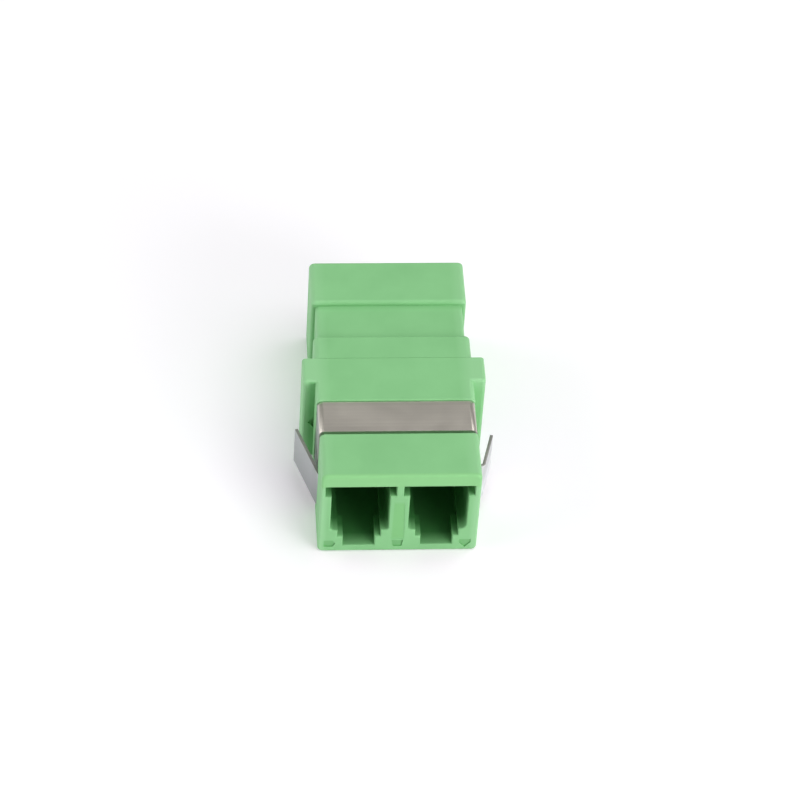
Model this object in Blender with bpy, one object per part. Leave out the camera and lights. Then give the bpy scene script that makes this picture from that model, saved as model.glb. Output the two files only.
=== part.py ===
# A duplex fibre adapter for two pairs of small square plugs, in the outline of a simplex adapter
# with a reduced flange and one folded metal panel clip.
# Units are metres, +Z is up. The ports run along Y, and the front ports face -Y.
# The origin is under the middle of the adapter, on the surface that it rests on.
# The latch side of every port points down.

import bpy
import bmesh
import math

MM = 0.001

# Moulded body, outside
SIDE_WALL = 0.965 * MM
BODY_HEIGHT = 9.00 * MM
BODY_CORNER_RADIUS = 0.42 * MM
FACE_EDGE_RADIUS = 0.30 * MM
STEP_EDGE_RADIUS = 0.16 * MM
FRONT_LAND_LENGTH = 4.66 * MM
CLIP_GROOVE_LENGTH = 3.58 * MM
SHOULDER_LENGTH = 2.07 * MM
FLANGE_THICKNESS = 2.60 * MM
FLANGE_REACH = 1.00 * MM
FLANGE_CORNER_RADIUS = 0.36 * MM
FLANGE_FRONT_RADIUS = 0.40 * MM
FLANGE_REAR_RADIUS = 0.20 * MM
COLLAR_LENGTH = 2.54 * MM
REAR_NECK_LENGTH = 3.78 * MM
REAR_LAND_LENGTH = 4.67 * MM
GROOVE_SIDE_DEPTH = 0.35 * MM
GROOVE_TOP_DEPTH = 0.45 * MM
COLLAR_DROP = 0.08 * MM
COLLAR_EDGE_RADIUS = 0.24 * MM

# Ports, each with its latch channel below
PORT_PITCH = 6.25 * MM
PORT_SIZE = 4.66 * MM
PORT_CORNER_RADIUS = 0.30 * MM
MARKED_CORNER_RADIUS = 0.60 * MM
PORT_AXIS_HEIGHT = 4.87 * MM
LATCH_CATCH_THICKNESS = 2.30 * MM
LUG_CHANNEL_WIDTH = 3.44 * MM
LUG_CHANNEL_DROP = 0.74 * MM
LEVER_SLOT_WIDTH = 2.54 * MM
LEVER_SLOT_DROP = 1.82 * MM
LUG_POCKET_WIDTH = 3.50 * MM
MOUTH_RECESS_WEB = 0.59 * MM
MOUTH_RECESS_RISE = 0.50 * MM
MOUTH_RECESS_HEIGHT = 1.10 * MM

# Sleeves and the two holders that carry them
SLEEVE_LENGTH = 6.80 * MM
SLEEVE_BORE = 1.246 * MM
SLEEVE_WALL = 0.19 * MM
SLEEVE_SLIT = 0.24 * MM
HOLDER_PLATE_THICKNESS = 0.95 * MM
HOLDER_TUBE_WALL = 0.38 * MM
HOLDER_LIP_THICKNESS = 0.40 * MM
HOLDER_LIP_BORE = 1.40 * MM
HOLDER_SEAT_MARGIN = 0.28 * MM
HOLDER_FLOOR_WALL = 0.44 * MM
HOLDER_CORNER_RADIUS = 0.35 * MM

# Folded clip
CLIP_SHEET = 0.25 * MM
CLIP_BAND_WIDTH = 3.24 * MM
CLIP_CORNER_RADIUS = 0.30 * MM
CLIP_FOOT_LENGTH = 1.50 * MM
WING_HEIGHT = 3.75 * MM
WING_BOTTOM_HEIGHT = 1.40 * MM
WING_REACH = 1.51 * MM
WING_FOLD_RADIUS = 0.20 * MM
WING_FOLD_TUCK = 0.30 * MM
LEFT_FOLD_LEAD = 0.93 * MM
RIGHT_FOLD_LEAD = 0.20 * MM
RIGHT_FOLD_SPLAY = 0.45 * MM
LEFT_WING_RUN = 4.68 * MM
RIGHT_WING_RUN = 3.10 * MM
WING_RELIEF_MARGIN = 0.12 * MM

# Shallow moulding marks
FACE_MARK_DEPTH = 0.10 * MM
FACE_MARK_WIDTH = 0.94 * MM
FACE_MARK_HEIGHT = 0.76 * MM
FACE_MARK_FOOT = 0.56 * MM
EAR_MARK_DEPTH = 0.28 * MM
EAR_MARK_WIDTH = 0.48 * MM
EAR_MARK_HEIGHT = 1.17 * MM
EAR_MARK_MARGIN = 0.04 * MM
DIVIDER_PANEL_DEPTH = 0.05 * MM
DIVIDER_PANEL_RIM = 0.26 * MM
DIVIDER_PANEL_DROP = 0.70 * MM
DIVIDER_PANEL_GAP = 0.14 * MM

# Fits between pieces, and how far a cutter runs past what it cuts
FIT_CLEARANCE = 0.05 * MM
SLEEVE_CLEARANCE = 0.05 * MM
CUT_OVERRUN = 0.40 * MM

# How wide the divider panel is at its head, as a part of its foot
DIVIDER_PANEL_HEAD_SHARE = 0.776

# Faces per quarter turn
CORNER_STEPS = 4
FINE_STEPS = 3
ROUND_STEPS = 28

# Places worked out from the sizes above, front to rear
BODY_WIDTH = PORT_PITCH + PORT_SIZE + 2 * SIDE_WALL
HALF_WIDTH = BODY_WIDTH / 2
TOTAL_LENGTH = (FRONT_LAND_LENGTH + CLIP_GROOVE_LENGTH + SHOULDER_LENGTH + FLANGE_THICKNESS
                + COLLAR_LENGTH + REAR_NECK_LENGTH + REAR_LAND_LENGTH)
FRONT_FACE = -TOTAL_LENGTH / 2
REAR_FACE = TOTAL_LENGTH / 2
GROOVE_START = FRONT_FACE + FRONT_LAND_LENGTH
GROOVE_END = GROOVE_START + CLIP_GROOVE_LENGTH
FLANGE_FRONT = GROOVE_END + SHOULDER_LENGTH
FLANGE_REAR = FLANGE_FRONT + FLANGE_THICKNESS
COLLAR_END = FLANGE_REAR + COLLAR_LENGTH
NECK_END = COLLAR_END + REAR_NECK_LENGTH

PORT_FLOOR = PORT_AXIS_HEIGHT - PORT_SIZE / 2
PORT_CEILING = PORT_AXIS_HEIGHT + PORT_SIZE / 2
PORT_CENTRES = (-PORT_PITCH / 2, PORT_PITCH / 2)
PORT_SIDES = ("left", "right")
MOUTH_RECESS_WIDTH = PORT_PITCH - MOUTH_RECESS_WEB

SLEEVE_OUTER_RADIUS = SLEEVE_BORE / 2 + SLEEVE_WALL
HOLDER_BORE_RADIUS = SLEEVE_OUTER_RADIUS + SLEEVE_CLEARANCE
HOLDER_TUBE_RADIUS = HOLDER_BORE_RADIUS + HOLDER_TUBE_WALL
HOLDER_TUBE_REACH = SLEEVE_LENGTH / 2 + FIT_CLEARANCE + HOLDER_LIP_THICKNESS

# The pocket for the two holder plates reaches forward from the joint face of the front housing
POCKET_HALF_WIDTH = PORT_PITCH / 2 + PORT_SIZE / 2 + HOLDER_SEAT_MARGIN
POCKET_LOW = HOLDER_FLOOR_WALL
POCKET_HIGH = PORT_CEILING + HOLDER_SEAT_MARGIN
POCKET_DEPTH = 2 * HOLDER_PLATE_THICKNESS + 3 * FIT_CLEARANCE
SLEEVE_MIDDLE = FLANGE_REAR - HOLDER_PLATE_THICKNESS - FIT_CLEARANCE * 3 / 2

# The two wings are not set alike: the left fold is tucked into its relief and the right one is
# splayed. Each has its side, how far the fold stands in front of the band, how far its arm leans
# out before the fold, and the run from the fold back to the tip
WINGS = {"left": (-1, LEFT_FOLD_LEAD, -WING_FOLD_TUCK, LEFT_WING_RUN),
         "right": (1, RIGHT_FOLD_LEAD, RIGHT_FOLD_SPLAY, RIGHT_WING_RUN)}

MOULDED_GREEN = (0.235, 0.560, 0.240, 1.0)
SPRING_STEEL = (0.560, 0.550, 0.535, 1.0)
ZIRCONIA_WHITE = (0.860, 0.850, 0.800, 1.0)
HOLDER_GREEN = (0.170, 0.430, 0.185, 1.0)


def clear_scene():
    for item in list(bpy.data.objects):
        bpy.data.objects.remove(item, do_unlink=True)


def make_material(name, colour, roughness, metallic):
    material = bpy.data.materials.new(name)
    material.use_nodes = True
    shader = material.node_tree.nodes["Principled BSDF"]
    shader.inputs["Base Color"].default_value = colour
    shader.inputs["Roughness"].default_value = roughness
    shader.inputs["Metallic"].default_value = metallic
    return material


def make_object(name, bm, material=None):
    bmesh.ops.recalc_face_normals(bm, faces=bm.faces)
    mesh = bpy.data.meshes.new(name)
    bm.to_mesh(mesh)
    bm.free()
    item = bpy.data.objects.new(name, mesh)
    bpy.context.scene.collection.objects.link(item)
    if material:
        mesh.materials.append(material)
    return item


def arc_points(centre, radius, start, turn, steps):
    # Points on a circle in a plane, from the start angle through the given turn, in degrees
    angles = [math.radians(start + turn * step / steps) for step in range(steps + 1)]
    return [(centre[0] + radius * math.cos(a), centre[1] + radius * math.sin(a)) for a in angles]


def rounded_rectangle(left, right, low, high, radius, steps=CORNER_STEPS):
    corners = ((right, high, -1, -1, 0), (left, high, 1, -1, 90),
               (left, low, 1, 1, 180), (right, low, -1, 1, 270))
    points = []
    for x, z, to_x, to_z, start in corners:
        points += arc_points((x + to_x * radius, z + to_z * radius), radius, start, 90, steps)
    return points


def add_loop(bm, points, y):
    return [bm.verts.new((x, y, z)) for x, z in points]


def loft(name, sections, material=None):
    # Each section is a place along Y and a closed outline in XZ, all with the same number of points
    bm = bmesh.new()
    loops = [add_loop(bm, outline, y) for y, outline in sections]
    for near, far in zip(loops, loops[1:]):
        for i in range(len(near)):
            bm.faces.new((near[i - 1], near[i], far[i], far[i - 1]))
    bm.faces.new(loops[0])
    bm.faces.new(loops[-1])
    return make_object(name, bm, material)


def prism(name, outline, start, end, material=None):
    bm = bmesh.new()
    face = bm.faces.new(add_loop(bm, outline, start))
    grown = bmesh.ops.extrude_face_region(bm, geom=[face])
    moved = [part for part in grown["geom"] if isinstance(part, bmesh.types.BMVert)]
    bmesh.ops.translate(bm, verts=moved, vec=(0, end - start, 0))
    return make_object(name, bm, material)


def use_tool(target, tool, operation="DIFFERENCE"):
    # The tool stays in the file as a wire guide that does not render
    tool.hide_render = True
    tool.display_type = "WIRE"
    change = target.modifiers.new(tool.name, "BOOLEAN")
    change.operation = operation
    change.solver = "EXACT"
    change.object = tool


def shade(item, angle=35):
    item.data.shade_smooth()
    item.data.set_sharp_from_angle(angle=math.radians(angle))


def body_section(y, inset=0, reach=0, top_drop=0, bottom_rise=0, radius=BODY_CORNER_RADIUS):
    half = HALF_WIDTH - inset + reach
    outline = rounded_rectangle(-half, half, bottom_rise, BODY_HEIGHT - top_drop, radius)
    return y, outline


def edge_sections(y, inward, edge, **shape):
    # A rounded edge where a stretch of the body ends: rings from the end face to the full section
    rings = []
    for step in range(FINE_STEPS + 1):
        turn = math.radians(90 * step / FINE_STEPS)
        shrink = edge * (1 - math.sin(turn))
        place = y + inward * edge * (1 - math.cos(turn))
        sized = dict(shape)
        sized["inset"] = shape.get("inset", 0) + shrink
        sized["top_drop"] = shape.get("top_drop", 0) + shrink
        sized["bottom_rise"] = shape.get("bottom_rise", 0) + shrink
        rings.append(body_section(place, **sized))
    return rings if inward > 0 else rings[::-1]


def land_stretch(start, end, start_edge, end_edge, **shape):
    return edge_sections(start, 1, start_edge, **shape) + edge_sections(end, -1, end_edge, **shape)


def groove_stretch(start, end):
    shape = {"inset": GROOVE_SIDE_DEPTH, "top_drop": GROOVE_TOP_DEPTH, "bottom_rise": GROOVE_TOP_DEPTH,
             "radius": BODY_CORNER_RADIUS}
    return [body_section(start, **shape), body_section(end, **shape)]


def port_corner(corner):
    # The right lower corner of the square that the plug fits, down to its floor
    return arc_points((PORT_SIZE / 2 - corner, PORT_FLOOR + corner), corner, 0, -90, CORNER_STEPS)


def mouth_half(corner):
    # The stepped opening of a port: recess on top, square for the plug, channel for the
    # latch's lugs and slot for its lever
    recess_top = PORT_CEILING + MOUTH_RECESS_RISE
    recess_low = recess_top - MOUTH_RECESS_HEIGHT
    half = [(MOUTH_RECESS_WIDTH / 2, recess_top), (MOUTH_RECESS_WIDTH / 2, recess_low),
            (PORT_SIZE / 2, recess_low)]
    half += port_corner(corner)
    half += [(LUG_CHANNEL_WIDTH / 2, PORT_FLOOR), (LUG_CHANNEL_WIDTH / 2, PORT_FLOOR - LUG_CHANNEL_DROP),
             (LEVER_SLOT_WIDTH / 2, PORT_FLOOR - LUG_CHANNEL_DROP),
             (LEVER_SLOT_WIDTH / 2, PORT_FLOOR - LEVER_SLOT_DROP)]
    return half


def bore_half(corner):
    # Behind the catch the square goes on, over a pocket as deep as the slot where the lugs spring out
    half = [(PORT_SIZE / 2, PORT_CEILING)]
    half += port_corner(corner)
    half += [(LUG_POCKET_WIDTH / 2, PORT_FLOOR), (LUG_POCKET_WIDTH / 2, PORT_FLOOR - LEVER_SLOT_DROP)]
    return half


def port_outline(half, centre, left_corner, right_corner):
    right = half(right_corner)
    left = [(-x, z) for x, z in reversed(half(left_corner))]
    return [(centre + x, z) for x, z in right + left]


def cut_port(housing, side, centre, face, inward, bore_end, corners):
    label = housing.name + "_" + side
    catch_end = face + inward * LATCH_CATCH_THICKNESS
    mouth = prism(label + "_mouth_cut", port_outline(mouth_half, centre, *corners),
                  face - inward * CUT_OVERRUN, catch_end)
    bore = prism(label + "_bore_cut", port_outline(bore_half, centre, *corners),
                 catch_end - inward * FIT_CLEARANCE, bore_end)
    use_tool(housing, mouth)
    use_tool(housing, bore)


def face_mark_outlines():
    # Three small marks low on the front face: a pointer, a slanted bar and a shield
    width = FACE_MARK_WIDTH
    low = FACE_MARK_FOOT
    high = low + FACE_MARK_HEIGHT
    middle = (low + high) / 2
    edge = PORT_PITCH / 2 + PORT_SIZE / 2
    left = -edge - width / 2
    right = edge - width / 2
    pointer = [(left, low), (left, high), (left + width * 3 / 4, high), (left + width, middle),
               (left + width * 3 / 4, low)]
    bar = [(-width / 2, high), (-width * 3 / 8, low), (width * 3 / 8, low), (width / 2, high)]
    shield = [(right, high), (right, middle), (right + width / 2, low - FACE_MARK_HEIGHT / 4),
              (right + width, middle), (right + width, high)]
    return {"pointer": pointer, "bar": bar, "shield": shield}


def ear_mark_outline():
    # A triangle on the front of the left ear, pointing outwards
    inner = -HALF_WIDTH - EAR_MARK_MARGIN
    middle = BODY_HEIGHT * 0.46
    half = EAR_MARK_HEIGHT / 2
    return [(inner, middle + half), (inner - EAR_MARK_WIDTH, middle), (inner, middle - half)]


def divider_panel_outline():
    # A shallow panel on the wall between the two ports, a little wider at its foot
    low = FACE_MARK_FOOT + FACE_MARK_HEIGHT + DIVIDER_PANEL_GAP
    high = PORT_CEILING + MOUTH_RECESS_RISE - MOUTH_RECESS_HEIGHT - DIVIDER_PANEL_DROP
    half = (PORT_PITCH - PORT_SIZE) / 2 - DIVIDER_PANEL_RIM
    narrow = half * DIVIDER_PANEL_HEAD_SHARE
    return [(narrow, high), (-narrow, high), (-half, low), (half, low)]


def cut_marks(housing):
    recesses = [(name + "_mark", outline, FRONT_FACE, FACE_MARK_DEPTH)
                for name, outline in face_mark_outlines().items()]
    recesses += [("divider_panel", divider_panel_outline(), FRONT_FACE, DIVIDER_PANEL_DEPTH),
                 ("ear_mark", ear_mark_outline(), FLANGE_FRONT, EAR_MARK_DEPTH)]
    for name, outline, face, depth in recesses:
        use_tool(housing, prism(name + "_cut", outline, face - EAR_MARK_DEPTH, face + depth))


def cut_wing_reliefs(housing):
    # The folds of the clip's wings are tucked into the front land, so its sides are notched there
    low = WING_BOTTOM_HEIGHT - WING_RELIEF_MARGIN
    high = WING_BOTTOM_HEIGHT + WING_HEIGHT + WING_RELIEF_MARGIN
    inner = HALF_WIDTH - GROOVE_SIDE_DEPTH - WING_FOLD_TUCK
    outer = HALF_WIDTH + CUT_OVERRUN
    for side, (sign, lead, _, _) in WINGS.items():
        start = clip_front() - lead - WING_FOLD_RADIUS - CLIP_SHEET / 2 - WING_RELIEF_MARGIN
        outline = rounded_rectangle(min(sign * inner, sign * outer), max(sign * inner, sign * outer),
                                    low, high, STEP_EDGE_RADIUS)
        tool = prism("wing_relief_cut_" + side, outline, start, GROOVE_START + CUT_OVERRUN)
        use_tool(housing, tool)


def make_flange_form():
    # The ears stand out at the sides only, so top and bottom run on flush with the body
    return loft("flange_form", land_stretch(FLANGE_FRONT, FLANGE_REAR, FLANGE_FRONT_RADIUS,
                                            FLANGE_REAR_RADIUS, reach=FLANGE_REACH,
                                            radius=FLANGE_CORNER_RADIUS))


def make_front_housing(material):
    sections = land_stretch(FRONT_FACE, GROOVE_START, FACE_EDGE_RADIUS, STEP_EDGE_RADIUS)
    sections += groove_stretch(GROOVE_START, GROOVE_END)
    sections += edge_sections(GROOVE_END, 1, STEP_EDGE_RADIUS)
    sections += [body_section((FLANGE_FRONT + FLANGE_REAR) / 2)]
    housing = loft("front_housing", sections, material)
    use_tool(housing, make_flange_form(), "UNION")
    pocket = rounded_rectangle(-POCKET_HALF_WIDTH, POCKET_HALF_WIDTH, POCKET_LOW, POCKET_HIGH,
                               HOLDER_CORNER_RADIUS)
    pocket_start = FLANGE_REAR - POCKET_DEPTH
    for side, centre in zip(PORT_SIDES, PORT_CENTRES):
        # Only the right front port has one rounder corner, low and outwards
        right_corner = MARKED_CORNER_RADIUS if side == "right" else PORT_CORNER_RADIUS
        cut_port(housing, side, centre, FRONT_FACE, 1, pocket_start + FIT_CLEARANCE,
                 (PORT_CORNER_RADIUS, right_corner))
    use_tool(housing, prism("holder_pocket_cut", pocket, pocket_start, FLANGE_REAR + CUT_OVERRUN))
    cut_wing_reliefs(housing)
    cut_marks(housing)
    shade(housing)
    return housing


def make_rear_housing(material):
    joint = FLANGE_REAR + FIT_CLEARANCE
    collar = {"top_drop": COLLAR_DROP}
    sections = [body_section(joint, **collar)]
    sections += edge_sections(COLLAR_END, -1, COLLAR_EDGE_RADIUS, **collar)
    sections += groove_stretch(COLLAR_END, NECK_END)
    sections += land_stretch(NECK_END, REAR_FACE, STEP_EDGE_RADIUS, FACE_EDGE_RADIUS)
    housing = loft("rear_housing", sections, material)
    for side, centre in zip(PORT_SIDES, PORT_CENTRES):
        cut_port(housing, side, centre, REAR_FACE, -1, joint - CUT_OVERRUN,
                 (PORT_CORNER_RADIUS, PORT_CORNER_RADIUS))
    shade(housing)
    return housing


def turned_tool(name, radius, start, end, centre):
    outline = arc_points((centre, PORT_AXIS_HEIGHT), radius, 0, 360, ROUND_STEPS)[:-1]
    return prism(name, outline, start, end)


def make_sleeve_holder(name, facing, material):
    # A plate with one tube for each port: facing is -1 for the front holder and 1 for the rear one
    inner_face = SLEEVE_MIDDLE + facing * FIT_CLEARANCE / 2
    outer_face = inner_face + facing * HOLDER_PLATE_THICKNESS
    tube_end = SLEEVE_MIDDLE + facing * HOLDER_TUBE_REACH
    lip_start = tube_end - facing * HOLDER_LIP_THICKNESS
    outline = rounded_rectangle(-POCKET_HALF_WIDTH + FIT_CLEARANCE, POCKET_HALF_WIDTH - FIT_CLEARANCE,
                                POCKET_LOW + FIT_CLEARANCE, POCKET_HIGH - FIT_CLEARANCE,
                                HOLDER_CORNER_RADIUS)
    holder = prism(name, outline, inner_face, outer_face, material)
    for side, centre in zip(PORT_SIDES, PORT_CENTRES):
        label = name + "_" + side
        tube = turned_tool(label + "_tube_form", HOLDER_TUBE_RADIUS,
                           (inner_face + outer_face) / 2, tube_end, centre)
        bore = turned_tool(label + "_bore_cut", HOLDER_BORE_RADIUS,
                           inner_face - facing * CUT_OVERRUN, lip_start, centre)
        mouth = turned_tool(label + "_lip_cut", HOLDER_LIP_BORE / 2,
                            lip_start - facing * CUT_OVERRUN, tube_end + facing * CUT_OVERRUN, centre)
        use_tool(holder, tube, "UNION")
        use_tool(holder, bore)
        use_tool(holder, mouth)
    shade(holder)
    return holder


def make_split_sleeve(name, centre, material):
    # A slit tube: the slit points up
    inner = SLEEVE_BORE / 2
    outer = SLEEVE_OUTER_RADIUS
    half_slit = math.degrees(math.asin(SLEEVE_SLIT / 2 / outer))
    middle = (centre, PORT_AXIS_HEIGHT)
    turn = 360 - 2 * half_slit
    outline = arc_points(middle, outer, 90 + half_slit, turn, ROUND_STEPS)
    outline += arc_points(middle, inner, 90 + half_slit + turn, -turn, ROUND_STEPS)
    sleeve = prism(name, outline, SLEEVE_MIDDLE - SLEEVE_LENGTH / 2, SLEEVE_MIDDLE + SLEEVE_LENGTH / 2,
                   material)
    shade(sleeve)
    return sleeve


def clip_half_width():
    return HALF_WIDTH - GROOVE_SIDE_DEPTH + FIT_CLEARANCE + CLIP_SHEET / 2


def clip_front():
    # The band sits against the rear wall of its groove
    return GROOVE_END - FIT_CLEARANCE - CLIP_BAND_WIDTH


def clip_path():
    # The middle of the sheet across the body, from the left foot over the top to the right foot
    half = clip_half_width()
    high = BODY_HEIGHT - GROOVE_TOP_DEPTH + FIT_CLEARANCE + CLIP_SHEET / 2
    low = GROOVE_TOP_DEPTH - FIT_CLEARANCE - CLIP_SHEET / 2
    radius = CLIP_CORNER_RADIUS
    right = arc_points((half - radius, high - radius), radius, 90, -90, CORNER_STEPS)
    right += [(half, WING_BOTTOM_HEIGHT + WING_HEIGHT), (half, WING_BOTTOM_HEIGHT)]
    right += arc_points((half - radius, low + radius), radius, 0, -90, CORNER_STEPS)
    right += [(half - radius - CLIP_FOOT_LENGTH, low)]
    return [(-x, z) for x, z in reversed(right)] + right


def wing_path(side):
    # Seen from above: forward out of the band's front edge, round the fold and straight to the tip
    sign, lead, offset, run = WINGS[side]
    centre = (clip_half_width() + offset + WING_FOLD_RADIUS, clip_front() - lead)
    tip = (HALF_WIDTH + WING_REACH, centre[1] + run)
    across = tip[0] - centre[0]
    lean = math.atan2(across, run) - math.asin(WING_FOLD_RADIUS / math.hypot(across, run))
    points = arc_points(centre, WING_FOLD_RADIUS, 180, 180 - math.degrees(lean), 2 * CORNER_STEPS)
    return [(sign * x, y) for x, y in points + [tip]]


def make_spring_clip(material):
    # One sheet: a band round the body with two wings folded out of its front edge
    bm = bmesh.new()
    path = clip_path()
    front = [bm.verts.new((x, clip_front(), z)) for x, z in path]
    edges = [bm.edges.new(pair) for pair in zip(front, front[1:])]
    grown = bmesh.ops.extrude_edge_only(bm, edges=edges)
    rear = [part for part in grown["geom"] if isinstance(part, bmesh.types.BMVert)]
    bmesh.ops.translate(bm, verts=rear, vec=(0, CLIP_BAND_WIDTH, 0))
    heights = (WING_BOTTOM_HEIGHT, WING_BOTTOM_HEIGHT + WING_HEIGHT)
    for side in PORT_SIDES:
        sign = WINGS[side][0]
        root = [edge for edge in edges if all(
            sign * vert.co.x > 0 and min(abs(vert.co.z - z) for z in heights) < FIT_CLEARANCE / 10
            for vert in edge.verts)]
        last = (sign * clip_half_width(), clip_front())
        for x, y in wing_path(side):
            step = bmesh.ops.extrude_edge_only(bm, edges=root)
            moved = [part for part in step["geom"] if isinstance(part, bmesh.types.BMVert)]
            root = [part for part in step["geom"] if isinstance(part, bmesh.types.BMEdge)
                    and all(vert in moved for vert in part.verts)]
            bmesh.ops.translate(bm, verts=moved, vec=(x - last[0], y - last[1], 0))
            last = (x, y)
    clip = make_object("spring_clip", bm, material)
    sheet = clip.modifiers.new("sheet", "SOLIDIFY")
    sheet.thickness = CLIP_SHEET
    sheet.offset = 0
    sheet.use_even_offset = True
    shade(clip)
    return clip


def main():
    clear_scene()
    green = make_material("moulded_green", MOULDED_GREEN, 0.42, 0.0)
    holder_green = make_material("holder_green", HOLDER_GREEN, 0.5, 0.0)
    steel = make_material("spring_steel", SPRING_STEEL, 0.32, 1.0)
    zirconia = make_material("zirconia", ZIRCONIA_WHITE, 0.25, 0.0)
    make_front_housing(green)
    make_rear_housing(green)
    make_sleeve_holder("front_sleeve_holder", -1, holder_green)
    make_sleeve_holder("rear_sleeve_holder", 1, holder_green)
    for side, centre in zip(PORT_SIDES, PORT_CENTRES):
        make_split_sleeve("split_sleeve_" + side, centre, zirconia)
    make_spring_clip(steel)


main()
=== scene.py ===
import bpy
import bmesh
import math
from mathutils import Matrix, Vector


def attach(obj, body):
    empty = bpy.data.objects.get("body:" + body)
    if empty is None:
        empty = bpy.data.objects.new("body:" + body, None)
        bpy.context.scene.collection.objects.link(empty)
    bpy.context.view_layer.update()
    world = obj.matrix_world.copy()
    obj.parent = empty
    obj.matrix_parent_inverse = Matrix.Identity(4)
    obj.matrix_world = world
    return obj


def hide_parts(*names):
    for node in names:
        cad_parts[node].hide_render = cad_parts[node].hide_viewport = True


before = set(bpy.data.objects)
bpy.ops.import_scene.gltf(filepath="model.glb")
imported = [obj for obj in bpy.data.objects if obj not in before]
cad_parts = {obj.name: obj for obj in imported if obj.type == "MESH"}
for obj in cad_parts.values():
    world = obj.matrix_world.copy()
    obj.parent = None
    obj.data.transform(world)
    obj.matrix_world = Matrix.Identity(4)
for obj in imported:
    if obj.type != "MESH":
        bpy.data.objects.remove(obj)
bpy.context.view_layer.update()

# Meshes are made in millimetres and scaled once, when a piece is finished
mm = 0.001
touching = 0.001  # millimetres: points closer than this count as one
roundSteps = 5  # strips across a rounded edge

# Where the camera stood, solved from about forty points of the photograph
view = {
    "place": (-20.739, -202.352, 223.735),
    "heading": 6.047,  # degrees to the right of +Y
    "tilt": 47.073,  # degrees below level
    "roll": 3.963,
    "focalPixels": 3647.5,
    "imagePixels": 800,
    "sensor": 36.0,
}


def makeCamera():
    data = bpy.data.cameras.new("camera")
    data.sensor_fit = "HORIZONTAL"
    data.sensor_width = view["sensor"]
    data.lens = view["focalPixels"] / view["imagePixels"] * view["sensor"]
    data.clip_start = 0.01
    camera = bpy.data.objects.new("camera", data)
    bpy.context.scene.collection.objects.link(camera)
    heading, tilt, roll = (math.radians(view[key]) for key in ("heading", "tilt", "roll"))
    ahead = Vector((math.sin(heading) * math.cos(tilt), math.cos(heading) * math.cos(tilt), -math.sin(tilt)))
    right = Vector((math.cos(heading), -math.sin(heading), 0))
    up = right.cross(ahead)
    rolledRight = right * math.cos(roll) + up * math.sin(roll)
    rolledUp = up * math.cos(roll) - right * math.sin(roll)
    turn = Matrix((rolledRight, rolledUp, -ahead)).transposed()
    camera.matrix_world = Matrix.Translation(Vector(view["place"]) * mm) @ turn.to_4x4()
    bpy.context.scene.camera = camera


makeCamera()
print("camera set")

# Lamps stand round the object: degrees to the right of the front, degrees above the floor
stage = {
    "skyStrength": 0.28,
    "floorSize": 3.0,
    "floorTone": (0.925, 0.910, 0.938), "floorRough": 0.9, "floorShine": 0.1,
    # Less green beside the object and just before it, to even out the green light that it sheds.
    # Each limit of such a box is (axis, both sides alike, where the tone ends, where it is full)
    "near": ((0, True, 17.0, 9.0), (1, False, 8.0, 0.0), (1, False, -8.5, -3.5)),
    "nearTone": (0.950, 0.874, 0.975),
    "before": ((0, True, 7.5, 6.0), (1, False, -15.5, -13.5), (1, False, -10.0, -11.5)),
    "beforeTone": (1.0, 0.915, 1.0),
    "floorLift": 0.150,  # a glow that only the camera sees, so it lights nothing
    "lampDistance": 0.45,  # metres
    "lampHeight": 0.004,
}
lamps = {
    "keyLamp": {"around": 90, "above": 68, "size": 0.40, "power": 1.02},
    "rightFrontLamp": {"around": 40, "above": 15, "size": 0.25, "power": 1.13},
    "rightLamp": {"around": 60, "above": 45, "size": 0.50, "power": 0.20},
    "leftLamp": {"around": -90, "above": 18, "size": 0.40, "power": 0.97},
    "leftRearLamp": {"around": -110, "above": 50, "size": 0.40, "power": 0.16},
}


def makeLamp(name, lamp):
    around, above = math.radians(lamp["around"]), math.radians(lamp["above"])
    away = Vector((math.sin(around) * math.cos(above), -math.cos(around) * math.cos(above), math.sin(above)))
    data = bpy.data.lights.new(name, "AREA")
    data.energy = lamp["power"]
    data.size = lamp["size"]
    item = bpy.data.objects.new(name, data)
    item.location = away * stage["lampDistance"] + Vector((0, 0, stage["lampHeight"]))
    item.rotation_euler = away.to_track_quat("Z", "Y").to_euler()
    bpy.context.scene.collection.objects.link(item)


def makeWorld():
    world = bpy.data.worlds.new("world")
    world.use_nodes = True
    nodes, links = world.node_tree.nodes, world.node_tree.links
    sky = nodes["Background"]
    white = nodes.new("ShaderNodeBackground")
    for background in (sky, white):
        background.inputs["Color"].default_value = (1, 1, 1, 1)
    sky.inputs["Strength"].default_value = stage["skyStrength"]
    path = nodes.new("ShaderNodeLightPath")
    mix = nodes.new("ShaderNodeMixShader")
    links.new(path.outputs["Is Camera Ray"], mix.inputs[0])
    links.new(sky.outputs[0], mix.inputs[1])
    links.new(white.outputs[0], mix.inputs[2])
    links.new(mix.outputs[0], nodes["World Output"].inputs["Surface"])
    bpy.context.scene.world = world


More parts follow.
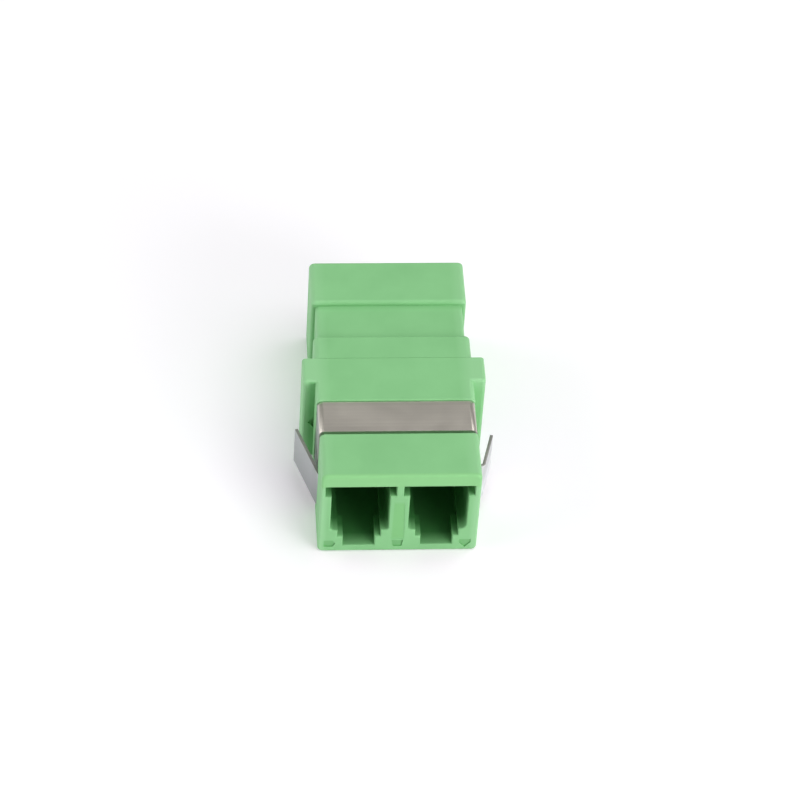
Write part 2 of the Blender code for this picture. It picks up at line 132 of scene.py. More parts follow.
class Shade:
    # A short way to write a material's nodes: most calls add a node and return its output

    def __init__(self, name):
        self.material = bpy.data.materials.new(name)
        self.material.use_nodes = True
        self.tree = self.material.node_tree
        self.surface = self.tree.nodes["Principled BSDF"]
        self.place = self.tree.nodes.new("ShaderNodeTexCoord").outputs["Object"]

    def add(self, kind, **settings):
        node = self.tree.nodes.new(kind)
        for key, value in settings.items():
            setattr(node, key, value)
        return node

    def link(self, output, target):
        self.tree.links.new(output, target)

    def noise(self, scale, detail=3, stretch=(1, 1, 1), rough=0.5):
        mapping = self.add("ShaderNodeMapping")
        mapping.inputs["Scale"].default_value = stretch
        self.link(self.place, mapping.inputs["Vector"])
        noise = self.add("ShaderNodeTexNoise")
        noise.inputs["Scale"].default_value = scale
        noise.inputs["Detail"].default_value = detail
        noise.inputs["Roughness"].default_value = rough
        self.link(mapping.outputs[0], noise.inputs["Vector"])
        return noise.outputs["Fac"]

    def span(self, value, low, high, fromLow=0.3, fromHigh=0.7):
        node = self.add("ShaderNodeMapRange")
        node.inputs["From Min"].default_value = fromLow
        node.inputs["From Max"].default_value = fromHigh
        node.inputs["To Min"].default_value = low
        node.inputs["To Max"].default_value = high
        self.link(value, node.inputs["Value"])
        return node.outputs[0]

    def blend(self, factor, first, second):
        node = self.add("ShaderNodeMix", data_type="RGBA")
        self.link(factor, node.inputs[0])
        for value, socket in ((first, node.inputs[6]), (second, node.inputs[7])):
            if isinstance(value, tuple):
                socket.default_value = (*value, 1)
            else:
                self.link(value, socket)
        return node.outputs[2]

    def bump(self, height, distance, strength=1.0, under=None):
        node = self.add("ShaderNodeBump")
        node.inputs["Strength"].default_value = strength
        node.inputs["Distance"].default_value = distance * mm
        self.link(height, node.inputs["Height"])
        if under:
            self.link(under, node.inputs["Normal"])
        return node.outputs[0]

    def times(self, first, second):
        node = self.add("ShaderNodeMath", operation="MULTIPLY")
        self.link(first, node.inputs[0])
        self.link(second, node.inputs[1])
        return node.outputs[0]

    def inside(self, limits):
        # One inside a box and zero outside it, for limits in millimetres as in the stage's values
        split = self.add("ShaderNodeSeparateXYZ")
        self.link(self.place, split.inputs[0])
        whole = None
        for axis, both, gone, full in limits:
            value = split.outputs[axis]
            if both:
                size = self.add("ShaderNodeMath", operation="ABSOLUTE")
                self.link(value, size.inputs[0])
                value = size.outputs[0]
            if gone < full:
                ramp = self.span(value, 0, 1, gone * mm, full * mm)
            else:
                ramp = self.span(value, 1, 0, full * mm, gone * mm)
            whole = self.times(whole, ramp) if whole else ramp
        return whole

    def set(self, socket, value):
        if isinstance(value, bpy.types.NodeSocket):
            self.link(value, self.surface.inputs[socket])
        else:
            self.surface.inputs[socket].default_value = value


def makeFloor():
    bm = bmesh.new()
    bmesh.ops.create_grid(bm, x_segments=1, y_segments=1, size=stage["floorSize"] / 2)
    mesh = bpy.data.meshes.new("floor")
    bm.to_mesh(mesh)
    bm.free()
    floor = bpy.data.objects.new("floor", mesh)
    bpy.context.scene.collection.objects.link(floor)
    shade = Shade("paperFloor")
    tone = shade.blend(shade.inside(stage["near"]), stage["floorTone"], stage["nearTone"])
    shade.set("Base Color", shade.blend(shade.inside(stage["before"]), tone, stage["beforeTone"]))
    shade.set("Roughness", stage["floorRough"])
    shade.set("Specular IOR Level", stage["floorShine"])
    shade.set("Emission Color", (1, 1, 1, 1))
    path = shade.add("ShaderNodeLightPath")
    lift = shade.add("ShaderNodeMath", operation="MULTIPLY")
    lift.inputs[1].default_value = stage["floorLift"]
    shade.link(path.outputs["Is Camera Ray"], lift.inputs[0])
    shade.set("Emission Strength", lift.outputs[0])
    mesh.materials.append(shade.material)


makeWorld()
makeFloor()
for lampName, lampValues in lamps.items():
    makeLamp(lampName, lampValues)
bpy.context.scene.view_settings.view_transform = "Standard"
print("stage set")


# Satin moulding: cloudy pigment, a fine eroded grain and faint rubbed patches
plastic = {
    "body": {"dark": (0.222, 0.535, 0.226), "light": (0.250, 0.585, 0.254)},
    # The holder's green is the body's darkened: painted shade for the depth of the ports it sits in
    "holder": {"dark": (0.150, 0.400, 0.165), "light": (0.190, 0.455, 0.205)},
    "cloud": 260, "grain": 14000, "rub": 700, "rubStretch": (1, 0.35, 1), "speckle": (0, 0.14, 0.35, 0.75),
    "grainDepth": 0.004, "grainStrength": 0.6, "waveDepth": 0.012, "waveStrength": 0.5,
    "rough": (0.46, 0.58), "shine": 0.45,
    # Deep in the ports the moulding is darker: painted shade
    "deep": ((0, True, 5.9, 5.6), (1, True, 11.93, 10.6), (2, False, 0.45, 0.62), (2, False, 8.1, 7.8)),
    "deepTone": (0.050, 0.212, 0.055),
    # Light shines through the long rims of the mouldings, which look paler there
    "rims": (((0, True, 5.2, 6.35), (2, False, 7.6, 8.4)),
             ((0, True, 5.7, 6.1), (0, False, 6.50, 6.44), (1, False, -11.6, -11.85)),
             ((0, False, -6.50, -6.60),)),
    "rimTone": (0.288, 0.608, 0.293),
    # The front face is a little paler over the ports, a painted highlight
    "brow": ((1, False, -11.55, -11.75), (2, False, 7.5, 7.8)),
    "browTone": (0.254, 0.593, 0.239),
    # The sunk panel on the wall between the ports, darkened with painted shade
    "panel": ((0, True, 0.64, 0.36), (1, False, -11.935, -11.922), (1, False, -11.60, -11.70),
              (2, False, 1.40, 1.70), (2, False, 6.00, 5.60)),
    "panelTone": (0.208, 0.538, 0.198),
    # The foot of the rear land's step lies in a soft shade
    "foot": ((1, False, 6.80, 7.20), (1, False, 7.40, 7.32), (2, False, 8.74, 8.66)),
    "footTone": (0.200, 0.500, 0.205),
    # Painted shade: the left ear is darkest in the corner where it meets the side
    "root": ((0, False, -7.05, -6.75), (0, False, -6.40, -6.44), (1, False, -1.56, -1.60),
             (1, False, -1.90, -1.80)),
    "rootTone": (0.175, 0.480, 0.185),
    # The floors of the small face marks are painted darker, painted shade in the recesses: one box for the
    # middle one, one for the outer two
    "markedShade": (((0, True, 0.56, 0.50), (1, False, -11.93, -11.88), (1, False, -11.60, -11.70),
                (2, False, 0.40, 0.46), (2, False, 1.46, 1.40)),
               ((0, True, 4.60, 4.70), (0, True, 6.03, 5.97), (1, False, -11.93, -11.88),
                (1, False, -11.60, -11.70), (2, False, 0.28, 0.34), (2, False, 1.46, 1.40))),
    "markedShadeTone": (0.188, 0.500, 0.190),
}


def mouldedPlastic(name, tones):
    shade = Shade(name)
    cloud = shade.noise(plastic["cloud"], detail=4)
    grain = shade.noise(plastic["grain"], detail=2, rough=0.6)
    rub = shade.noise(plastic["rub"], detail=5, stretch=plastic["rubStretch"], rough=0.65)
    tone = shade.blend(shade.span(cloud, 0, 1), tones["dark"], tones["light"])
    speckAndPaintedLight = shade.blend(shade.span(grain, *plastic["speckle"]), tone, tones["dark"])
    # From here on the speckled tone also carries painted light and shade
    for limits in plastic["rims"]:
        speckAndPaintedLight = shade.blend(shade.inside(limits), speckAndPaintedLight, plastic["rimTone"])
    for part in ("brow", "panel", "foot", "root"):
        speckAndPaintedLight = shade.blend(shade.inside(plastic[part]), speckAndPaintedLight, plastic[part + "Tone"])
    for limits in plastic["markedShade"]:
        speckAndPaintedLight = shade.blend(shade.inside(limits), speckAndPaintedLight, plastic["markedShadeTone"])
    shade.set("Base Color", shade.blend(shade.inside(plastic["deep"]), speckAndPaintedLight, plastic["deepTone"]))
    shade.set("Roughness", shade.span(rub, *plastic["rough"]))
    wave = shade.bump(cloud, plastic["waveDepth"], plastic["waveStrength"])
    shade.set("Normal", shade.bump(grain, plastic["grainDepth"], plastic["grainStrength"], wave))
    shade.set("Specular IOR Level", plastic["shine"])
    return shade.material


# Rolled strip: streaks run round the band, so they change along the ports only
strip = {
    "face": {"dark": (0.690, 0.650, 0.577), "light": (0.748, 0.706, 0.627)},
    "cut": {"dark": (0.400, 0.390, 0.370), "light": (0.480, 0.470, 0.450)}, "cutRougher": 0.10,
    "rough": (0.29, 0.36), "cloudRougher": 0.08,
    "streak": 300, "streakStretch": (0.05, 12, 0.05), "streakDepth": 0.003, "streakStrength": 0.5,
    "cloud": 420,
    # Painted light on the wings, cooler than the band: painted shade on the left one, its fold and the
    # band's side beside it, the right one with a paler painted reflection, a painted highlight on its foot,
    # and painted shade in the crevice behind the left fold
    "wings": ((((0, False, -6.42, -6.50),), (0.535, 0.562, 0.554)),
              (((0, False, -5.80, -5.90), (0, False, -6.90, -6.50), (1, False, -7.0, -7.2)),
               (0.465, 0.495, 0.485)),
              (((0, False, -6.28, -6.35), (0, False, -6.50, -6.42), (1, False, -7.3, -7.0)),
               (0.400, 0.430, 0.410)),
              (((0, False, 6.42, 6.50),), (0.775, 0.790, 0.790)),
              (((0, False, 6.42, 6.50), (2, False, 3.6, 2.6)), (0.965, 0.985, 1.0)),
              (((0, False, -6.20, -6.30), (0, False, -6.56, -6.46), (1, False, -4.2, -5.2),
                (1, False, -7.6, -7.3), (2, False, 5.8, 5.0)), (0.220, 0.245, 0.220))),
}


def rolledSteel(name, tones, rougher=0):
    shade = Shade(name)
    streak = shade.noise(strip["streak"], detail=6, stretch=strip["streakStretch"], rough=0.7)
    cloud = shade.noise(strip["cloud"], detail=3)
    tone = shade.blend(shade.span(streak, 0, 1), tones["dark"], tones["light"])
    if tones is strip["face"]:
        # Painted reflections, highlights and shade on the wings
        for limits, paintedWingLight in strip["wings"]:
            tone = shade.blend(shade.inside(limits), tone, paintedWingLight)
    shade.set("Base Color", tone)
    shade.set("Metallic", 1.0)
    both = shade.add("ShaderNodeMath", operation="ADD")
    low, high = strip["rough"]
    shade.link(shade.span(streak, low + rougher, high + rougher), both.inputs[0])
    shade.link(shade.span(cloud, 0, strip["cloudRougher"]), both.inputs[1])
    shade.set("Roughness", both.outputs[0])
    shade.set("Normal", shade.bump(streak, strip["streakDepth"], strip["streakStrength"]))
    return shade.material


# Ground ceramic: off-white with a faint mottle and grinding rings
ceramic = {
    "dark": (0.80, 0.785, 0.735), "light": (0.88, 0.87, 0.825), "rough": (0.16, 0.28),
    "mottle": 900, "ring": 9000, "ringStretch": (0.02, 1, 0.02), "ringDepth": 0.001, "ringStrength": 0.4,
}


def groundCeramic(name):
    shade = Shade(name)
    mottle = shade.noise(ceramic["mottle"], detail=4)
    ring = shade.noise(ceramic["ring"], detail=2, stretch=ceramic["ringStretch"])
    shade.set("Base Color", shade.blend(shade.span(mottle, 0, 1), ceramic["dark"], ceramic["light"]))
    shade.set("Roughness", shade.span(ring, *ceramic["rough"]))
    shade.set("Normal", shade.bump(ring, ceramic["ringDepth"], ceramic["ringStrength"]))
    return shade.material


materials = {
    "moulded_green": mouldedPlastic("mouldedGreen", plastic["body"]),
    "holder_green": mouldedPlastic("shadedHolderGreen", plastic["holder"]),
    "spring_steel": rolledSteel("springSteel", strip["face"]),
    "cut_steel": rolledSteel("cutSteel", strip["cut"], strip["cutRougher"]),
    "zirconia": groundCeramic("zirconia"),
}
print("materials made")


def roundOff(bm, parts, radius, steps=roundSteps, affect="EDGES", clamp=True):
    if radius > 0 and parts:
        bmesh.ops.bevel(bm, geom=parts, offset=radius, offset_type="OFFSET", segments=steps, profile=0.5,
                        affect=affect, clamp_overlap=clamp, material=-1)


def blockMesh(low, high, corner=0, near=0, far=0, lowCorner=None):
    # A block with its long edges, its near end and its far end rounded
    bm = bmesh.new()
    bmesh.ops.create_cube(bm, size=1)
    size = Vector(high) - Vector(low)
    bmesh.ops.scale(bm, vec=size, verts=bm.verts)
    bmesh.ops.translate(bm, vec=(Vector(low) + Vector(high)) / 2, verts=bm.verts)
    middle = (low[2] + high[2]) / 2
    along = [edge for edge in bm.edges if abs(edge.verts[0].co.y - edge.verts[1].co.y) > size.y / 2]
    upper = [edge for edge in along if edge.verts[0].co.z > middle]
    lower = [edge for edge in along if edge.verts[0].co.z < middle]
    roundOff(bm, upper, corner)
    roundOff(bm, lower, corner if lowCorner is None else lowCorner)
    for y, radius in ((low[1], near), (high[1], far)):
        rim = [edge for edge in bm.edges if all(abs(vert.co.y - y) < touching for vert in edge.verts)]
        roundOff(bm, rim, radius)
    return bm


def prismMesh(outline, near, far, rounds=()):
    # An outline in XZ, its corners rounded where rounds names them, drawn out along Y
    bm = bmesh.new()
    corners = [bm.verts.new((x, near, z)) for x, z in outline]
    bm.faces.new(corners)
    for radius in sorted({radius for _, radius in rounds}):
        chosen = [corners[index] for index, own in rounds if own == radius]
        roundOff(bm, chosen, radius, affect="VERTICES")
    grown = bmesh.ops.extrude_face_region(bm, geom=list(bm.faces))
    moved = [part for part in grown["geom"] if isinstance(part, bmesh.types.BMVert)]
    bmesh.ops.translate(bm, verts=moved, vec=(0, far - near, 0))
    return bm


def rodMesh(radius, near, far, centre, edge=0, sides=64):
    # A rod along Y with both its rims rounded
    bm = bmesh.new()
    bmesh.ops.create_cone(bm, cap_ends=True, segments=sides, radius1=radius, radius2=radius,
                          depth=abs(far - near))
    bmesh.ops.rotate(bm, verts=bm.verts, cent=(0, 0, 0), matrix=Matrix.Rotation(math.pi / 2, 3, "X"))
    bmesh.ops.translate(bm, verts=bm.verts, vec=(centre[0], (near + far) / 2, centre[1]))
    rims = [edge for edge in bm.edges if abs(edge.verts[0].co.y - edge.verts[1].co.y) < touching]
    roundOff(bm, rims, edge, steps=3)
    return bm


def spunMesh(profile, centre, start, turn, steps):
    # A closed profile of (radius, y) points spun part of the way round an axis along Y
    bm = bmesh.new()
    axis = Vector((centre[0], 0, centre[1]))
    spoke = Vector((math.cos(math.radians(start)), 0, math.sin(math.radians(start))))
    face = bm.faces.new([bm.verts.new(axis + spoke * radius + Vector((0, y, 0))) for radius, y in profile])
    bmesh.ops.spin(bm, geom=[face, *face.edges, *face.verts], cent=axis, axis=(0, -1, 0),
                   angle=math.radians(turn), steps=steps, use_merge=False)
    return bm


# In degrees: faces that turn less are flat, and edges that turn more are sharp, rounded or mouths
angles = {"flat": 0.2, "sharp": 30, "rounded": 40, "roundedSheet": 50, "mouth": 60}


def toObject(name, bm):
    bmesh.ops.recalc_face_normals(bm, faces=bm.faces)
    mesh = bpy.data.meshes.new(name)
    bm.to_mesh(mesh)
    bm.free()
    item = bpy.data.objects.new(name, mesh)
    bpy.context.scene.collection.objects.link(item)
    return item


def applied(item):
    # The object's mesh with its modifiers applied, as an editable mesh
    graph = bpy.context.evaluated_depsgraph_get()
    bm = bmesh.new()
    bm.from_object(item, graph)
    return bm


def combined(first, others, operation):
    base = toObject("base", first)
    tools = [toObject("tool", other) for other in others]
    for tool in tools:
        change = base.modifiers.new("change", "BOOLEAN")
        change.operation = operation
        change.solver = "EXACT"
        change.object = tool
    bm = applied(base)
    for item in (base, *tools):
        mesh = item.data
        bpy.data.objects.remove(item)
        bpy.data.meshes.remove(mesh)
    bmesh.ops.remove_doubles(bm, verts=bm.verts, dist=touching)
    bmesh.ops.dissolve_limit(bm, angle_limit=math.radians(angles["flat"]), verts=bm.verts, edges=bm.edges)
    return bm


def fineEdges(piece, width, angle):
    bevel = piece.modifiers.new("edges", "BEVEL")
    bevel.width = width * mm
    bevel.segments = 2
    bevel.limit_method = "ANGLE"
    bevel.angle_limit = math.radians(angle)


def evenNormals(piece):
    weight = piece.modifiers.new("normals", "WEIGHTED_NORMAL")
    weight.keep_sharp = True


def finishPiece(bm, node, slot, edge=0, even=True):
    bmesh.ops.scale(bm, vec=(mm, mm, mm), verts=bm.verts)
    piece = toObject(node + "_fine", bm)
    piece.data.materials.append(materials[slot])
    piece.data.shade_smooth()
    piece.data.set_sharp_from_angle(angle=math.radians(angles["sharp"]))
    if edge:
        fineEdges(piece, edge, angles["rounded"])
    if even:
        evenNormals(piece)
    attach(piece, "root")
    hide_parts(node)
    return piece


# The two housings, in millimetres; places along the ports follow from the lengths
body = {
    "halfWidth": 6.42, "height": 9.0, "corner": 0.46, "lowCorner": 0.42, "coreCorner": 0.34,
    "faceEdge": 0.21, "stepEdge": 0.16, "shoulderEdge": 0.09,
    "frontLand": 4.66, "groove": 3.58, "shoulder": 2.07, "flange": 2.60, "collar": 2.54,
    "neck": 3.78, "rearLand": 4.67, "reach": 1.00, "earCorner": 0.30, "earFront": 0.30, "earRear": 0.05,
    "grooveSide": 0.35, "grooveTop": 0.45, "collarDrop": 0.03, "collarEdge": 0.24, "rearStepEdge": 0.32,
    "jointGap": 0.05, "seamGap": 0.02, "lean": 0.12, "mouthEdge": 0.14, "sharpEdge": 0.035,
    "overlap": 0.5, "overrun": 0.4,  # how far joined blocks reach into each other, and cuts past a face
}
body["front"] = -(body["frontLand"] + body["groove"] + body["shoulder"] + body["flange"] + body["collar"]
                  + body["neck"] + body["rearLand"]) / 2
body["grooveStart"] = body["front"] + body["frontLand"]
body["grooveEnd"] = body["grooveStart"] + body["groove"]
body["flangeFront"] = body["grooveEnd"] + body["shoulder"]
body["flangeRear"] = body["flangeFront"] + body["flange"]
body["collarEnd"] = body["flangeRear"] + body["collar"]
body["neckEnd"] = body["collarEnd"] + body["neck"]

port = {
    "pitch": 6.25, "size": 4.66, "corner": 0.30, "markedCorner": 0.60, "axis": 4.87, "catch": 2.30,
    "lugWidth": 3.44, "lugDrop": 0.74, "leverWidth": 2.54, "leverDrop": 1.82, "pocketWidth": 3.50,
    "recessWidth": 5.66, "recessRise": 0.50, "recessHeight": 1.10,
}
port["floor"] = port["axis"] - port["size"] / 2
port["ceiling"] = port["axis"] + port["size"] / 2

# The pocket behind the ports that takes both holders
pocket = {"margin": 0.28, "low": 0.44, "depth": 2.05, "corner": 0.35}
pocket["halfWidth"] = (port["pitch"] + port["size"]) / 2 + pocket["margin"]
pocket["high"] = port["ceiling"] + pocket["margin"]


def stretchMesh(near, far, side=0, top=0, bottom=0, corner=body["corner"], lowCorner=body["lowCorner"],
                nearEdge=0, farEdge=0, reach=0):
    half = body["halfWidth"] - side + reach
    return blockMesh((-half, near, bottom), (half, far, body["height"] - top), corner, nearEdge, farEdge,
                     lowCorner)


def portTools(face, inward, boreEnd, corners):
    # The stepped mouth and the bore behind its catch, for both ports
    tools = []
    catch = face + inward * port["catch"]
    start = face - inward * body["overrun"]
    recessTop = port["ceiling"] + port["recessRise"]
    recessLow = recessTop - port["recessHeight"]
    for centre, (leftCorner, rightCorner) in zip((-port["pitch"] / 2, port["pitch"] / 2), corners):
        right = [(port["recessWidth"] / 2, recessTop), (port["recessWidth"] / 2, recessLow),
                 (port["size"] / 2, recessLow), (port["size"] / 2, port["floor"]),
                 (port["lugWidth"] / 2, port["floor"]),
                 (port["lugWidth"] / 2, port["floor"] - port["lugDrop"]),
                 (port["leverWidth"] / 2, port["floor"] - port["lugDrop"]),
                 (port["leverWidth"] / 2, port["floor"] - port["leverDrop"])]
        outline = [(centre + x, z) for x, z in right] + [(centre - x, z) for x, z in reversed(right)]
        tools.append(prismMesh(outline, min(start, catch), max(start, catch),
                               [(3, rightCorner), (12, leftCorner)]))
        right = [(port["size"] / 2, port["ceiling"]), (port["size"] / 2, port["floor"]),
                 (port["pocketWidth"] / 2, port["floor"]),
                 (port["pocketWidth"] / 2, port["floor"] - port["leverDrop"])]
        outline = [(centre + x, z) for x, z in right] + [(centre - x, z) for x, z in reversed(right)]
        begin = catch - inward * body["jointGap"]
        tools.append(prismMesh(outline, min(begin, boreEnd), max(begin, boreEnd),
                               [(1, rightCorner), (6, leftCorner)]))
    return tools


def roundMouths(bm, face):
    # Edges that lie in an end face and turn sharply are the mouths of the ports
    rims = [edge for edge in bm.edges if all(abs(vert.co.y - face) < touching for vert in edge.verts)
            and len(edge.link_faces) == 2 and edge.calc_face_angle() > math.radians(angles["mouth"])]
    roundOff(bm, rims, body["mouthEdge"], steps=4, clamp=False)


marks = {
    "width": 0.94, "height": 0.76, "foot": 0.56, "depth": 0.10, "round": 0.05,
    "pointerShare": 0.75, "barShare": 0.375, "shieldShare": 0.25,
    "panelDepth": 0.03, "panelRim": 0.26, "panelHeadShare": 0.776, "panelDrop": 0.70, "panelGap": 0.14,
    "earWidth": 0.48, "earHeight": 1.17, "earMiddle": 4.14, "earMargin": 0.04, "earDepth": 0.28,
}


def markTools():
    width, low, high = marks["width"], marks["foot"], marks["foot"] + marks["height"]
    middle = (low + high) / 2
    edge = (port["pitch"] + port["size"]) / 2
    left, right = -edge - width / 2, edge - width / 2
    neck, bottom = left + width * marks["pointerShare"], width * marks["barShare"]
    point = low - marks["height"] * marks["shieldShare"]
    pointer = [(left, low), (left, high), (neck, high), (left + width, middle), (neck, low)]
    bar = [(-width / 2, high), (-bottom, low), (bottom, low), (width / 2, high)]
    shield = [(right, high), (right, middle), (right + width / 2, point),
              (right + width, middle), (right + width, high)]
    recessLow = port["ceiling"] + port["recessRise"] - port["recessHeight"]
    foot = (port["pitch"] - port["size"]) / 2 - marks["panelRim"]
    head = foot * marks["panelHeadShare"]
    panelHigh, panelLow = recessLow - marks["panelDrop"], high + marks["panelGap"]
    panel = [(head, panelHigh), (-head, panelHigh), (-foot, panelLow), (foot, panelLow)]
    inner = -body["halfWidth"] - marks["earMargin"]
    half = marks["earHeight"] / 2
    ear = [(inner, marks["earMiddle"] + half), (inner - marks["earWidth"], marks["earMiddle"]),
           (inner, marks["earMiddle"] - half)]
    tools = []
    for outline, face, depth in (
            (pointer, body["front"], marks["depth"]),
            (bar, body["front"], marks["depth"]),
            (shield, body["front"], marks["depth"]),
            (panel, body["front"], marks["panelDepth"]),
            (ear, body["flangeFront"], marks["earDepth"])):
        rounds = [(index, marks["round"]) for index in range(len(outline))]
        tools.append(prismMesh(outline, face - marks["earDepth"], face + depth, rounds))
    return tools


clip = {
    "sheet": 0.25, "band": 3.20, "corner": 0.36, "lowCorner": 0.30, "foot": 1.50, "seat": 0.05, "edge": 0.03,
    "wingHeight": 3.75, "wingBottom": 1.40, "reach": 1.51, "fold": 0.20, "tipRound": 0.06, "margin": 0.12,
    "tuck": 0.30, "cornerSteps": 8, "foldSteps": 14, "tipSteps": 4,
    # The wings are not set alike: side, fold before the band, fold outside the band, run back to the tip
    "wings": ((-1, 0.97, -0.30, 4.68), (1, 0.24, 0.45, 3.10)),
}
clip["half"] = body["halfWidth"] - body["grooveSide"] + clip["seat"] + clip["sheet"] / 2
clip["front"] = body["grooveEnd"] - clip["seat"] - clip["band"]


def reliefTools():
    # Room in the front land's sides for the folds of the clip's wings
    near = clip["front"] - clip["fold"] - clip["sheet"] / 2 - clip["margin"]
    inner = body["halfWidth"] - body["grooveSide"] - clip["tuck"]
    outer, far = body["halfWidth"] + body["overrun"], body["grooveStart"] + body["overrun"]
    low, high = clip["wingBottom"] - clip["margin"], clip["wingBottom"] + clip["wingHeight"] + clip["margin"]
    return [blockMesh((min(side * inner, side * outer), near - lead, low),
                      (max(side * inner, side * outer), far, high), body["stepEdge"])
            for side, lead, _, _ in clip["wings"]]


def makeFrontHousing():
    groove = {"side": body["grooveSide"], "top": body["grooveTop"], "bottom": body["grooveTop"],
              "corner": body["coreCorner"]}
    land = stretchMesh(body["front"], body["grooveStart"],
                       nearEdge=body["faceEdge"], farEdge=body["stepEdge"])
    upperLeft = [vert for vert in land.verts if vert.co.x < 0 and vert.co.z > body["height"] / 2]
    bmesh.ops.translate(land, verts=upperLeft, vec=(body["lean"], 0, 0))
    parts = [
        stretchMesh(body["grooveStart"] - body["overlap"], body["grooveEnd"] + body["overlap"], **groove),
        stretchMesh(body["grooveEnd"], body["flangeRear"] - body["overlap"], nearEdge=body["shoulderEdge"]),
        stretchMesh(body["flangeFront"], body["flangeRear"], corner=body["earCorner"],
                    lowCorner=body["earCorner"], reach=body["reach"],
                    nearEdge=body["earFront"], farEdge=body["earRear"]),
    ]
    bm = combined(land, parts, "UNION")
    corners = ((port["corner"], port["corner"]), (port["corner"], port["markedCorner"]))
    pocketNear = body["flangeRear"] - pocket["depth"]
    boreEnd = pocketNear + body["jointGap"]
    bm = combined(bm, portTools(body["front"], 1, boreEnd, corners), "DIFFERENCE")
    roundMouths(bm, body["front"])
    hollow = blockMesh((-pocket["halfWidth"], pocketNear, pocket["low"]),
                       (pocket["halfWidth"], body["flangeRear"] + body["overrun"], pocket["high"]),
                       pocket["corner"])
    bm = combined(bm, [hollow, *reliefTools(), *markTools()], "DIFFERENCE")
    return finishPiece(bm, "front_housing", "moulded_green")


def makeRearHousing():
    neck = {"side": body["grooveSide"], "top": body["grooveTop"], "bottom": body["grooveTop"],
            "corner": body["coreCorner"]}
    joint = body["flangeRear"] + body["seamGap"]
    land = stretchMesh(body["neckEnd"], -body["front"],
                       nearEdge=body["rearStepEdge"], farEdge=body["faceEdge"])
    parts = [
        stretchMesh(body["collarEnd"] - body["overlap"], body["neckEnd"] + body["overlap"], **neck),
        stretchMesh(joint, body["collarEnd"], top=body["collarDrop"], farEdge=body["collarEdge"]),
    ]
    bm = combined(land, parts, "UNION")
    corners = ((port["corner"], port["corner"]), (port["corner"], port["corner"]))
    bm = combined(bm, portTools(-body["front"], -1, joint - body["overrun"], corners), "DIFFERENCE")
    roundMouths(bm, -body["front"])
    return finishPiece(bm, "rear_housing", "moulded_green", body["sharpEdge"])


makeFrontHousing()
makeRearHousing()
print("housings made")

# Holders and sleeves, in millimetres; both holders' plates meet at the sleeves' middle
holder = {
    "plate": 0.95, "fit": 0.05, "tubeWall": 0.38, "lip": 0.40, "lipBore": 1.40, "rim": 0.07,
    "sharpEdge": 0.025, "lipSides": 48,
}
sleeve = {
    "length": 6.80, "bore": 1.246, "wall": 0.19, "slit": 0.24, "chamfer": 0.06, "slack": 0.05, "steps": 72,
}
sleeve["outer"] = sleeve["bore"] / 2 + sleeve["wall"]
sleeve["middle"] = body["flangeRear"] - holder["plate"] - holder["fit"] * 1.5


def makeHolder(node, facing):
    inner = sleeve["middle"] + facing * holder["fit"] / 2
    outer = inner + facing * holder["plate"]
    end = sleeve["middle"] + facing * (sleeve["length"] / 2 + holder["fit"] + holder["lip"])
    lip = end - facing * holder["lip"]
    half = pocket["halfWidth"] - holder["fit"]
    bm = blockMesh((-half, min(inner, outer), pocket["low"] + holder["fit"]),
                   (half, max(inner, outer), pocket["high"] - holder["fit"]), pocket["corner"])
    bore = sleeve["outer"] + sleeve["slack"]
    centres = [(side * port["pitch"] / 2, port["axis"]) for side in (-1, 1)]
    tubes = [rodMesh(bore + holder["tubeWall"], (inner + outer) / 2, end, centre, holder["rim"])
             for centre in centres]
    past = facing * body["overrun"]
    bores = [rodMesh(bore, inner - past, lip, centre) for centre in centres]
    mouths = [rodMesh(holder["lipBore"] / 2, lip - past, end + past, centre, sides=holder["lipSides"])
              for centre in centres]
    bm = combined(combined(bm, tubes, "UNION"), bores + mouths, "DIFFERENCE")
    return finishPiece(bm, node, "holder_green", holder["sharpEdge"])


def makeSleeve(node, side):
    # Split along its top, with its end edges chamfered inside and out
    inner, outer, chamfer = sleeve["bore"] / 2, sleeve["outer"], sleeve["chamfer"]
    near, far = sleeve["middle"] - sleeve["length"] / 2, sleeve["middle"] + sleeve["length"] / 2
    profile = [(inner, near + chamfer), (inner + chamfer, near), (outer - chamfer, near),
               (outer, near + chamfer), (outer, far - chamfer), (outer - chamfer, far),
               (inner + chamfer, far), (inner, far - chamfer)]
    halfSlit = math.degrees(math.asin(sleeve["slit"] / 2 / outer))
    bm = spunMesh(profile, (side * port["pitch"] / 2, port["axis"]), 90 + halfSlit, 360 - 2 * halfSlit,
                  sleeve["steps"])
    return finishPiece(bm, node, "zirconia", even=False)


makeHolder("front_sleeve_holder", -1)
makeHolder("rear_sleeve_holder", 1)
makeSleeve("split_sleeve_left", -1)
makeSleeve("split_sleeve_right", 1)
print("holders and sleeves made")


def arcPoints(centre, radius, start, turn, steps):
    turns = [math.radians(start + turn * step / steps) for step in range(steps + 1)]
    return [(centre[0] + radius * math.cos(angle), centre[1] + radius * math.sin(angle)) for angle in turns]


def bandPath():
    # The middle of the sheet across the body, from the left foot over the top to the right one
    half, radius, lowRadius, steps = clip["half"], clip["corner"], clip["lowCorner"], clip["cornerSteps"]
    high = body["height"] - body["grooveTop"] + clip["seat"] + clip["sheet"] / 2
    low = body["grooveTop"] - clip["seat"] - clip["sheet"] / 2
    right = arcPoints((half - radius, high - radius), radius, 90, -90, steps)
    right += [(half, clip["wingBottom"] + clip["wingHeight"]), (half, clip["wingBottom"])]
    right += arcPoints((half - lowRadius, low + lowRadius), lowRadius, 0, -90, steps)
    right += [(half - lowRadius - clip["foot"], low)]
    return [(-x, z) for x, z in reversed(right)] + right


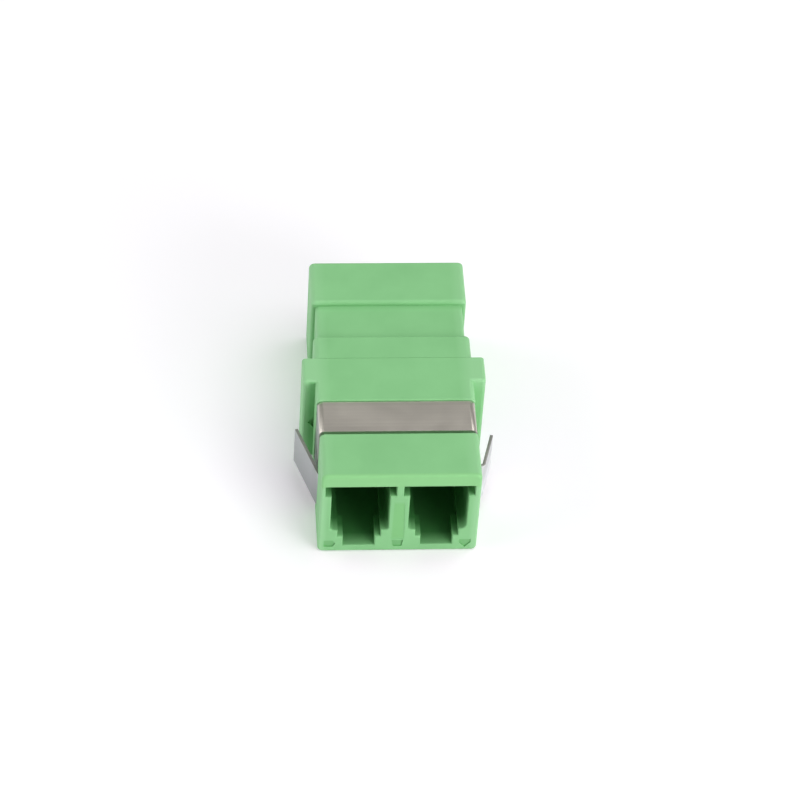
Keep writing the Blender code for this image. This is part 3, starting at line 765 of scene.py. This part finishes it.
def wingPath(lead, offset, run):
    # Seen from above: out of the band's front edge, round the fold and straight to the tip
    centre = (clip["half"] + offset + clip["fold"], clip["front"] - lead)
    tip = (body["halfWidth"] + clip["reach"], centre[1] + run)
    across = tip[0] - centre[0]
    lean = math.atan2(across, run) - math.asin(clip["fold"] / math.hypot(across, run))
    return arcPoints(centre, clip["fold"], 180, 180 - math.degrees(lean), clip["foldSteps"]) + [tip]


def grownEdges(bm, edges, move):
    step = bmesh.ops.extrude_edge_only(bm, edges=edges)
    moved = [part for part in step["geom"] if isinstance(part, bmesh.types.BMVert)]
    grown = [part for part in step["geom"] if isinstance(part, bmesh.types.BMEdge)
             and all(vert in moved for vert in part.verts)]
    bmesh.ops.translate(bm, verts=moved, vec=move)
    return grown, moved


def makeClip():
    bm = bmesh.new()
    front = [bm.verts.new((x, clip["front"], z)) for x, z in bandPath()]
    edges = [bm.edges.new(pair) for pair in zip(front, front[1:])]
    grownEdges(bm, edges, (0, clip["band"], 0))
    heights = (clip["wingBottom"], clip["wingBottom"] + clip["wingHeight"])
    for side, *shape in clip["wings"]:
        root = [edge for edge in edges if all(
            side * vert.co.x > 0 and min(abs(vert.co.z - z) for z in heights) < touching
            for vert in edge.verts)]
        last = (clip["half"], clip["front"])
        for x, y in wingPath(*shape):
            root, tip = grownEdges(bm, root, (side * (x - last[0]), y - last[1], 0))
            last = (x, y)
        roundOff(bm, tip, clip["tipRound"], clip["tipSteps"], affect="VERTICES")
    bmesh.ops.scale(bm, vec=(mm, mm, mm), verts=bm.verts)
    piece = toObject("spring_clip_fine", bm)
    piece.data.materials.append(materials["spring_steel"])
    piece.data.materials.append(materials["cut_steel"])
    piece.data.shade_smooth()
    sheet = piece.modifiers.new("sheet", "SOLIDIFY")
    sheet.thickness = clip["sheet"] * mm
    sheet.offset = 0
    sheet.use_even_offset = True
    sheet.material_offset_rim = 1
    fineEdges(piece, clip["edge"], angles["roundedSheet"])
    evenNormals(piece)
    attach(piece, "root")
    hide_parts("spring_clip")
    return piece


makeClip()
print("clip made")
